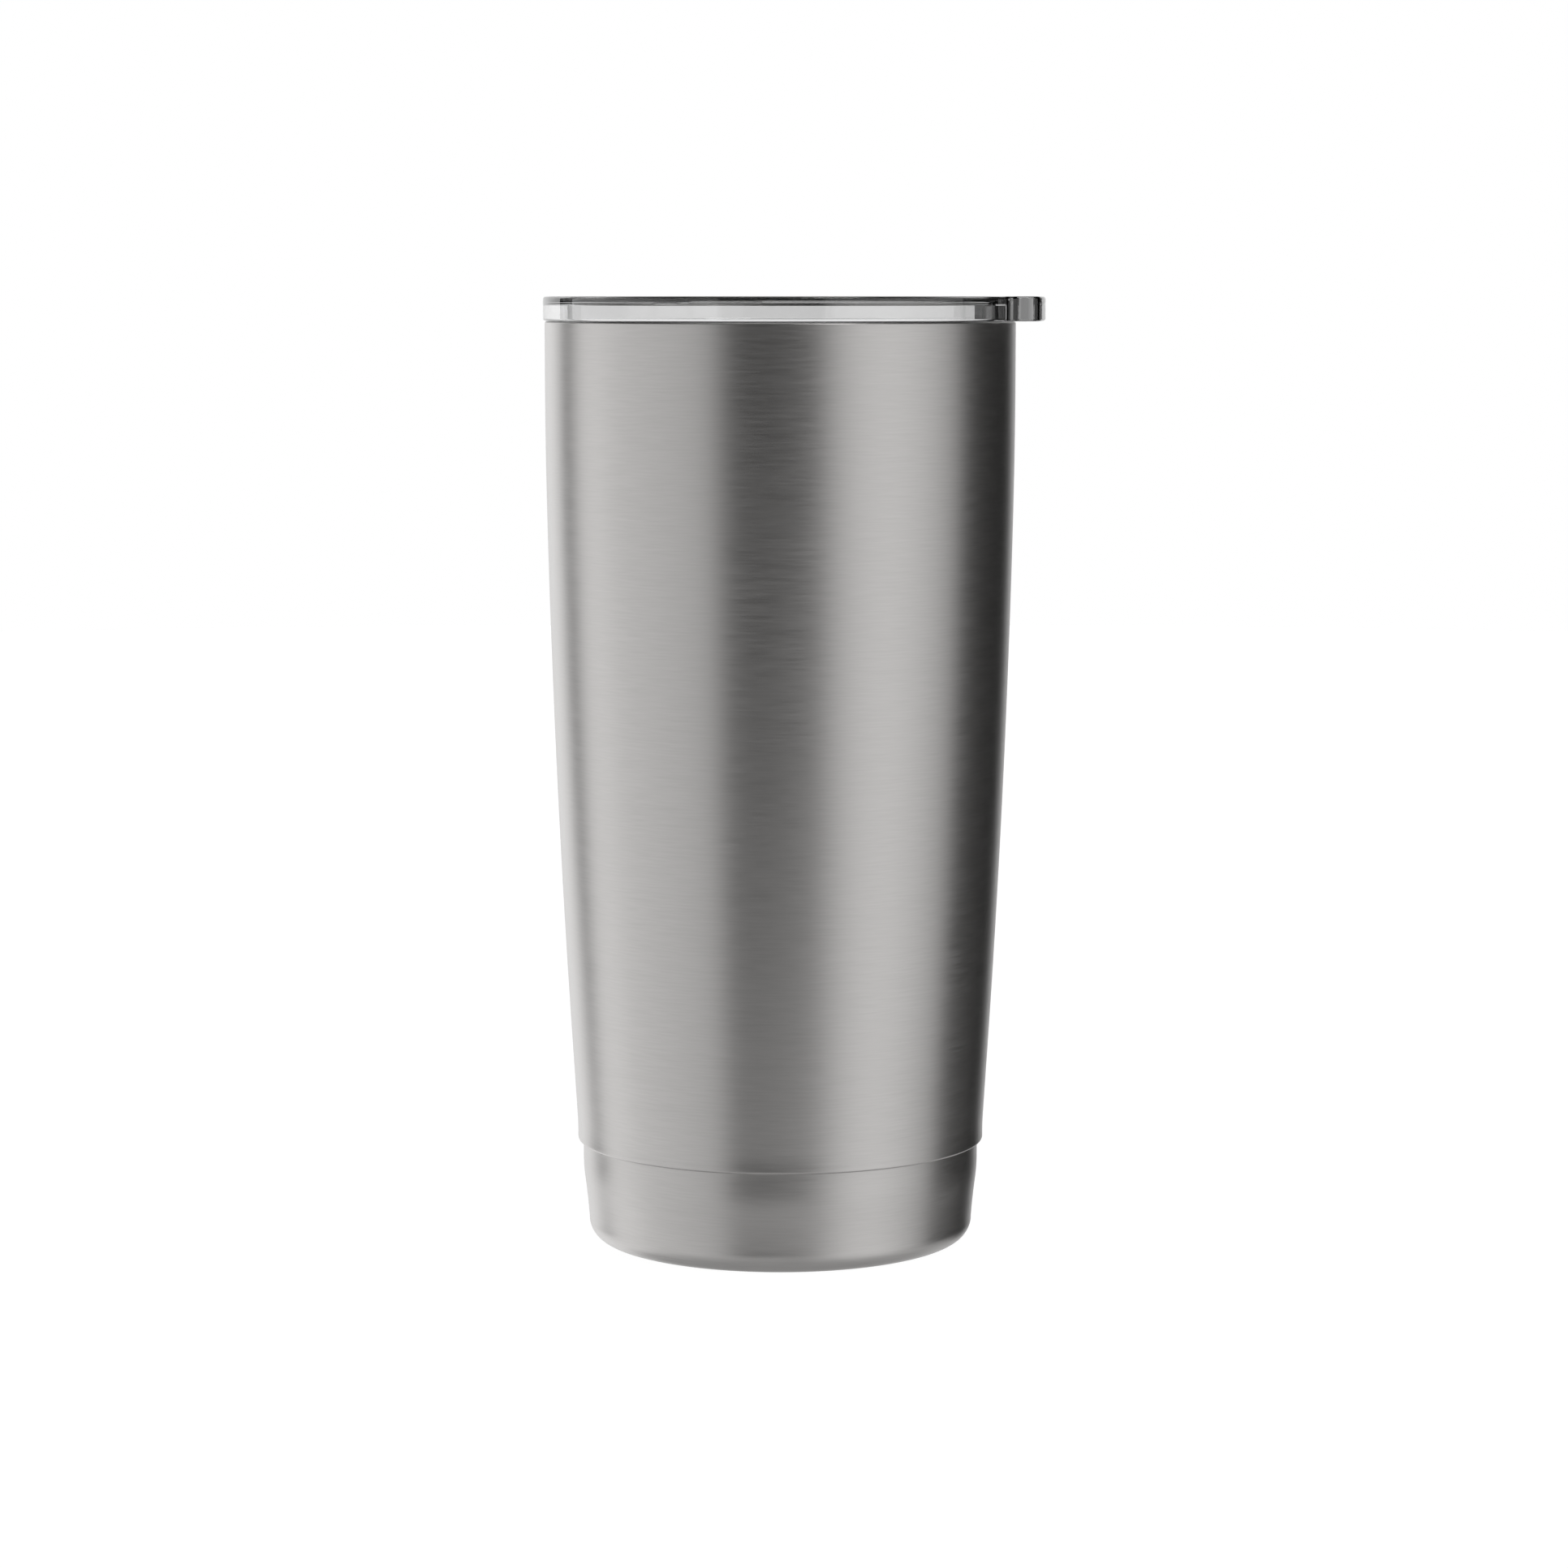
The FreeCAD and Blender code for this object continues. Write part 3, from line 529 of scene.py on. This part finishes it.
OUTLINE = lid_outline()


def ring(r, z):
    """A circle whose points have the same bearings as the outline's."""
    loop = []
    for x, y, _, _ in OUTLINE:
        length = math.hypot(x, y)
        loop.append((r * x / length, r * y / length, z))
    return loop


def rim(inset, z):
    """The outline, moved inwards."""
    return [(x - inset * nx, y - inset * ny, z) for x, y, nx, ny in OUTLINE]


def lid_loops():
    """Loops over the whole moulding: deck, recess, flange, plug, and back under the deck."""
    loops = [[(0, 0, DECK_TOP)]]
    loops += [ring(r, DECK_TOP) for r in (6, 14, 22, 30, 36)]
    bore = rounded(
        [(38, DECK_TOP, 0), (RECESS, DECK_TOP, 0.5), (RECESS, LID_TOP, BROW), (RECESS + 2, LID_TOP, 0)],
        closed=False,
    )
    loops += [ring(r, z) for r, z in bore[:-1]]
    edge = rounded(
        [(2, LID_TOP, 0), (0, LID_TOP, FLANGE_EDGE), (0, FLANGE_FOOT, FLANGE_EDGE), (2, FLANGE_FOOT, 0)],
        closed=False,
    )
    loops += [rim(inset, z) for inset, z in edge[1:-1]]
    plug = rounded(
        [
            (PLUG + 1.2, FLANGE_FOOT, 0),
            (PLUG, FLANGE_FOOT, 0.3),
            (PLUG, GROOVE_TOP, 0.15),
            (GROOVE_FLOOR, GROOVE_TOP, 0.15),
            (GROOVE_FLOOR, GROOVE_FOOT, 0.15),
            (PLUG, GROOVE_FOOT, 0.15),
            (PLUG, PLUG_FOOT, 0.4),
            (PLUG_BORE, PLUG_FOOT, 0.4),
            (PLUG_BORE, DECK_FOOT, 0.5),
            (34, DECK_FOOT, 0),
        ],
        closed=False,
    )
    loops += [ring(r, z) for r, z in plug]
    loops += [ring(r, DECK_FOOT) for r in (30, 22, 14, 6)]
    loops.append([(0, 0, DECK_FOOT)])
    return loops


def slot_points(x, half_span, radius, z, steps=20):
    """A slot with round ends, long across the lid."""
    loop = []
    for side in (1, -1):
        for i in range(steps + 1):
            a = math.pi * i / steps + (0 if side > 0 else math.pi)
            loop.append((x + radius * math.cos(a), side * half_span + radius * math.sin(a), z))
    return loop


def capped(name, loops):
    """A closed solid through loops, with flat ends."""
    mesh = skin(name, loops, closed=False)
    bm = bmesh.new()
    bm.from_mesh(mesh)
    bmesh.ops.holes_fill(bm, edges=[e for e in bm.edges if e.is_boundary])
    bmesh.ops.recalc_face_normals(bm, faces=bm.faces)
    bm.to_mesh(mesh)
    bm.free()
    return new_object(name, mesh)


def prism(name, outline, levels):
    """An upright solid through copies of an outline. levels is a list of (inset, height)."""
    return capped(name, [outline(inset, z) for inset, z in levels])


def sip_outline(inset, z):
    return slot_points(SIP_X, SIP_HALF_SPAN, SIP_RADIUS - inset, z)


def vent_outline(inset, z):
    radius = VENT_RADIUS - inset
    loop = []
    for i in range(48):
        a = math.pi * i / 24
        loop.append((VENT_X + radius * math.cos(a), radius * math.sin(a), z))
    return loop


def stop_outline(inset, z):
    near, far, half = RAIL_ENDS[1] - inset, RAIL_ENDS[1] - 1.4 + inset, 6 - inset
    return [(far, -half, z), (near, -half, z), (near, half, z), (far, half, z)]


def flare(steps):
    """Levels of a cutter through the deck that widens at both faces, from (widening, depth) steps."""
    upper = [(-width, DECK_TOP - depth) for width, depth in steps]
    lower = [(-width, DECK_FOOT + depth) for width, depth in reversed(steps)]
    return upper + lower


def combine(target, tools, operation):
    """Applies booleans to a mesh and removes the tools."""
    for tool in tools:
        modifier = target.modifiers.new("cut", "BOOLEAN")
        modifier.operation = operation
        modifier.solver = "EXACT"
        modifier.object = tool
    graph = bpy.context.evaluated_depsgraph_get()
    mesh = bpy.data.meshes.new_from_object(target.evaluated_get(graph))
    target.modifiers.clear()
    target.data = mesh
    for tool in tools:
        bpy.data.objects.remove(tool, do_unlink=True)


def rail_tool(side):
    """One hooked rail, as a loop in the YZ plane swept along X, with small rounds at its edges."""
    section = rounded(
        [
            (RAIL_FACE, DECK_TOP - RAIL_SINK, 0),
            (RAIL_BACK, DECK_TOP - RAIL_SINK, 0),
            (RAIL_BACK, RAIL_TOP, 0.3),
            (RAIL_HOOK, RAIL_TOP, 0.3),
            (RAIL_HOOK, RAIL_HOOK_FOOT, 0.2),
            (RAIL_FACE, RAIL_HOOK_FOOT, 0.2),
        ]
    )
    start, end = RAIL_ENDS
    loops = []
    for x in (start, start + 0.1, end - 0.1, end):
        loops.append([(x, side * y, z) for y, z in section])
    return capped(f"rail_{side}", loops)


lid = new_object("lid_moulding", skin("lid_moulding", lid_loops(), closed=False), "lid")
sip = prism("sip", sip_outline, flare([(0.3, -0.1), (0.25, 0), (0.08, 0.15), (0, 0.4)]))
vent = prism("vent", vent_outline, flare([(0.2, -0.1), (0.15, 0), (0, 0.2)]))
combine(lid, [sip, vent], "DIFFERENCE")
stop = prism("stop", stop_outline, [(0, DECK_TOP - RAIL_SINK), (0, 168.5), (0.15, 168.7)])
combine(lid, [rail_tool(1), rail_tool(-1), stop], "UNION")
lid.data.set_sharp_from_angle(angle=math.radians(35))
finish_piece(lid, lid_plastic, "clear_plastic", "lid_body")

GASKET_BACK, GASKET_FACE, FIN_TIP = 39.75, 40.6, 41.5
gasket_section = rounded(
    [
        (GASKET_BACK, 164.75, 0.1),
        (GASKET_FACE, 164.75, 0.2),
        (FIN_TIP, 164.25, 0.12),
        (FIN_TIP, 163.85, 0.12),
        (GASKET_FACE, 163.95, 0.2),
        (GASKET_FACE, 162.15, 0.2),
        (FIN_TIP, 161.65, 0.12),
        (FIN_TIP, 161.25, 0.12),
        (GASKET_FACE, 160.85, 0.2),
        (GASKET_BACK, 160.85, 0.1),
    ]
)
gasket = revolve("gasket_ring", gasket_section, "lid")
finish_piece(gasket, milky_silicone, "silicone", "lid_gasket")

# ---------------------------------------------------------------- slider


def nose_outline(half_width):
    """The slider's outline: a nose that follows the recess, and a straight tail."""

    def outline(inset, z):
        nose = SLIDER_NOSE - inset
        half = half_width - inset
        angle = math.asin(half / nose)
        points = []
        for i in range(33):
            a = math.pi - angle + 2 * angle * i / 32
            points.append((nose * math.cos(a), nose * math.sin(a), z))
        points.append((SLIDER_TAIL - inset, -half, z))
        points.append((SLIDER_TAIL - inset, half, z))
        return points

    return outline


def grip_outline(inset, z):
    return slot_points(GRIP_X, GRIP_HALF_SPAN, GRIP_RADIUS - inset, z)


def soft_levels(low, high, radius):
    """Levels for a plate with rounded upper and lower edges."""
    levels = []
    for i in range(5):
        a = math.radians(22.5 * i)
        levels.append((radius * (1 - math.sin(a)), low + radius * (1 - math.cos(a))))
    for i in range(5):
        a = math.radians(22.5 * i)
        levels.append((radius * (1 - math.cos(a)), high - radius * (1 - math.sin(a))))
    return levels


def grip_levels():
    """Levels for the grip, from its flared root to its rounded top."""
    levels = [(-0.6, 169.7), (-0.35, 169.85), (-0.12, 170.05), (0, 170.4)]
    for i in range(7):
        a = math.radians(15 * i)
        levels.append((0.7 * (1 - math.cos(a)), 171.3 + 0.7 * math.sin(a)))
    return levels


def seal_outline(radius):
    """A slot round the drinking opening."""
    return lambda inset, z: slot_points(SIP_X, SIP_HALF_SPAN, radius, z)


cover = prism("slider_cover", nose_outline(SLIDER_HALF), soft_levels(167.6, 168.8, 0.25))
upper = prism("slider_upper", nose_outline(SLIDER_TOP_HALF), soft_levels(168.4, 169.8, 0.25))
grip = prism("slider_grip", grip_outline, grip_levels())
combine(cover, [upper, grip], "UNION")
groove = prism("groove", seal_outline(5.6), [(0, 167.5), (0, 168.4)])
core = prism("core", seal_outline(4.6), [(0, 167.4), (0, 168.6)])
combine(groove, [core], "DIFFERENCE")
combine(cover, [groove], "DIFFERENCE")
cover.data.set_sharp_from_angle(angle=math.radians(35))
slider = new_object("slider_moulding", cover.data, "slider")
bpy.data.objects.remove(cover, do_unlink=True)
finish_piece(slider, slider_plastic, "slider_plastic", "slider")

seal_section = rounded([(4.62, 167.52, 0.2), (5.58, 167.52, 0.2), (5.58, 168.38, 0.1), (4.62, 168.38, 0.1)])
seal_loops = [slot_points(SIP_X, SIP_HALF_SPAN, r, z) for r, z in seal_section]
seal = new_object("slider_seal_ring", skin("slider_seal_ring", seal_loops), "slider")
finish_piece(seal, milky_silicone, "silicone", "slider_seal")

# ---------------------------------------------------------------- studio


def stage_mesh(name, loops, material, ring=True, seen=False):
    """A piece of the studio. Unless it is to be seen, it only lights the object and shows in it."""
    mesh = skin(name, loops, closed=False, ring=ring)
    mesh.materials.append(material)
    piece = new_object(name, mesh)
    piece.visible_camera = seen
    return piece


def plain_ring(radius, z, segments=96):
    loop = []
    for i in range(segments):
        a = 2 * math.pi * i / segments
        loop.append((radius * math.cos(a), radius * math.sin(a), z))
    return loop


def emission(name, strength):
    """A plain glow."""
    material = bpy.data.materials.new(name)
    material.use_nodes = True
    tree = material.node_tree
    tree.nodes.clear()
    glow = tree.nodes.new("ShaderNodeEmission")
    glow.inputs["Strength"].default_value = strength
    out = tree.nodes.new("ShaderNodeOutputMaterial")
    tree.links.new(glow.outputs[0], out.inputs["Surface"])
    return material


def bearing_ramp(tree, bearing, stops):
    """Brightness by bearing in degrees: 0 is towards the camera, positive to its right."""
    ramp = tree.nodes.new("ShaderNodeValToRGB")
    tree.links.new(bearing, ramp.inputs["Fac"])
    elements = ramp.color_ramp.elements
    for i, (degrees, level) in enumerate(stops):
        position = (degrees + 180) / 360
        if i < 2:
            element = elements[i]
            element.position = position
        else:
            element = elements.new(position)
        element.color = (level, level, level, 1)
    return ramp.outputs["Color"]


# The tent's glow by bearing, and the black flags that hang inside it: bearings from and to, and the
# elevations of the lower hem at those two ends, in degrees.
TENT_GLOW = [
    (-180, 0.98),
    (180, 0.98),
    (-166, 1.02),
    (-152, 1.40),
    (-117, 1.38),
    (-96, 1.36),
    (-90, 1.12),
    (-60, 0.98),
    (-30, 0.86),
    (21, 0.66),
    (38, 1.16),
    (55, 1.30),
    (72, 1.10),
    (97, 0.60),
    (157, 0.86),
]
BLACK_FLAGS = {
    "left_flag": (-131.8, -118.2, -18, -18),
    "front_flag": (-29.5, 21, -26, -13),
    "right_flag": (97, 154, -27, -27),
}
TENT_RADIUS = 1600
TENT_FOOT = -1400
TENT_TOP = 1000
FLAG_RADIUS = 1500
FLAG_TOP = 1700
OBJECT_MIDDLE = 100
FLOOR_RADIUS = 1560
SURROUND_RADIUS = 4000
KEY_BEARING = 35
KEY_ELEVATION = 55
KEY_DISTANCE = 1500
KEY_HALF = 260


def tent_material():
    """The tent's glow, which depends on the bearing only."""
    material = emission("tent_light", 1.0)
    tree = material.node_tree
    coords = tree.nodes.new("ShaderNodeTexCoord")
    split = tree.nodes.new("ShaderNodeSeparateXYZ")
    tree.links.new(coords.outputs["Object"], split.inputs[0])
    flip = tree.nodes.new("ShaderNodeMath")
    flip.operation = "MULTIPLY"
    flip.inputs[1].default_value = -1
    tree.links.new(split.outputs["Y"], flip.inputs[0])
    angle = tree.nodes.new("ShaderNodeMath")
    angle.operation = "ARCTAN2"
    tree.links.new(split.outputs["X"], angle.inputs[0])
    tree.links.new(flip.outputs[0], angle.inputs[1])
    turn = tree.nodes.new("ShaderNodeMapRange")
    turn.inputs["From Min"].default_value = -math.pi
    turn.inputs["From Max"].default_value = math.pi
    tree.links.new(angle.outputs[0], turn.inputs["Value"])
    level = bearing_ramp(tree, turn.outputs["Result"], TENT_GLOW)
    tree.links.new(level, tree.nodes["Emission"].inputs["Color"])
    return material


def black_flag(name, start, stop, start_hem, stop_hem):
    """A curved black card inside the tent, from its hem upwards."""
    hem_line, top_line = [], []
    for i in range(25):
        bearing = math.radians(start + (stop - start) * i / 24)
        x, y = FLAG_RADIUS * math.sin(bearing), -FLAG_RADIUS * math.cos(bearing)
        hem = start_hem + (stop_hem - start_hem) * i / 24
        hem_line.append((x, y, OBJECT_MIDDLE + FLAG_RADIUS * math.tan(math.radians(hem))))
        top_line.append((x, y, FLAG_TOP))
    stage_mesh(name, [hem_line, top_line], emission(name, 0.02), ring=False)


def key_light():
    """A small square light that faces the object from above, in front and to the right."""
    bearing, elevation = math.radians(KEY_BEARING), math.radians(KEY_ELEVATION)
    level, rise = math.cos(elevation), math.sin(elevation)
    out = Vector((math.sin(bearing) * level, -math.cos(bearing) * level, rise))
    side = Vector((math.cos(bearing), math.sin(bearing), 0))
    up = out.cross(side)
    centre = out * KEY_DISTANCE + Vector((0, 0, OBJECT_MIDDLE))
    corners = []
    for u, v in ((-1, -1), (1, -1), (1, 1), (-1, 1)):
        corners.append(tuple(centre + side * u * KEY_HALF + up * v * KEY_HALF))
    stage_mesh("key_light", [corners, [tuple(centre)]], emission("key_glow", 5.4))


def white_surround():
    """A white sphere that only the camera sees, behind everything."""
    loops = [[(0, 0, -SURROUND_RADIUS)]]
    for i in range(1, 24):
        a = math.radians(-90 + 7.5 * i)
        loops.append(plain_ring(SURROUND_RADIUS * math.cos(a), SURROUND_RADIUS * math.sin(a)))
    loops.append([(0, 0, SURROUND_RADIUS)])
    dome = stage_mesh("white_surround", loops, emission("surround_glow", 1.0), seen=True)
    dome.visible_diffuse = False
    dome.visible_glossy = False
    dome.visible_transmission = False
    dome.visible_shadow = False


def floor_material():
    """Pale matt card with a trace of glow, so that it stays pale far from the lights."""
    shader = Shader("floor_card", Roughness=0.9)
    shader.bsdf.inputs["Specular IOR Level"].default_value = 0.1
    fibre = shader.noise((3, 3, 3), detail=3.0).outputs["Fac"]
    shader.drive("Base Color", shader.mix(shader.ramp(fibre, 0, 1), (0.14, 0.14, 0.14), (0.16, 0.16, 0.16)))
    shader.bsdf.inputs["Emission Color"].default_value = (1, 1, 1, 1)
    shader.bsdf.inputs["Emission Strength"].default_value = 0.95
    return shader.material


tent_walls = [plain_ring(TENT_RADIUS, TENT_FOOT), plain_ring(TENT_RADIUS, TENT_TOP)]
stage_mesh("light_tent", tent_walls, tent_material())
for name, edges in BLACK_FLAGS.items():
    black_flag(name, *edges)
tray = [[(0, 0, TENT_FOOT)], plain_ring(TENT_RADIUS, TENT_FOOT)]
stage_mesh("light_tray", tray, emission("tray_glow", 0.5))
overhead = [plain_ring(700, FLAG_TOP), [(0, 0, FLAG_TOP)]]
stage_mesh("overhead_light", overhead, emission("overhead_glow", 1.1))
key_light()
white_surround()
floor_loops = [[(0, 0, 0)], plain_ring(FLOOR_RADIUS, 0)]
floor = stage_mesh("floor", floor_loops, floor_material(), seen=True)
floor.visible_glossy = False
floor.visible_shadow = False

world = bpy.data.worlds.new("studio")
world.use_nodes = True
world.node_tree.nodes["Background"].inputs["Color"].default_value = (0.02, 0.02, 0.02, 1)
scene.world = world
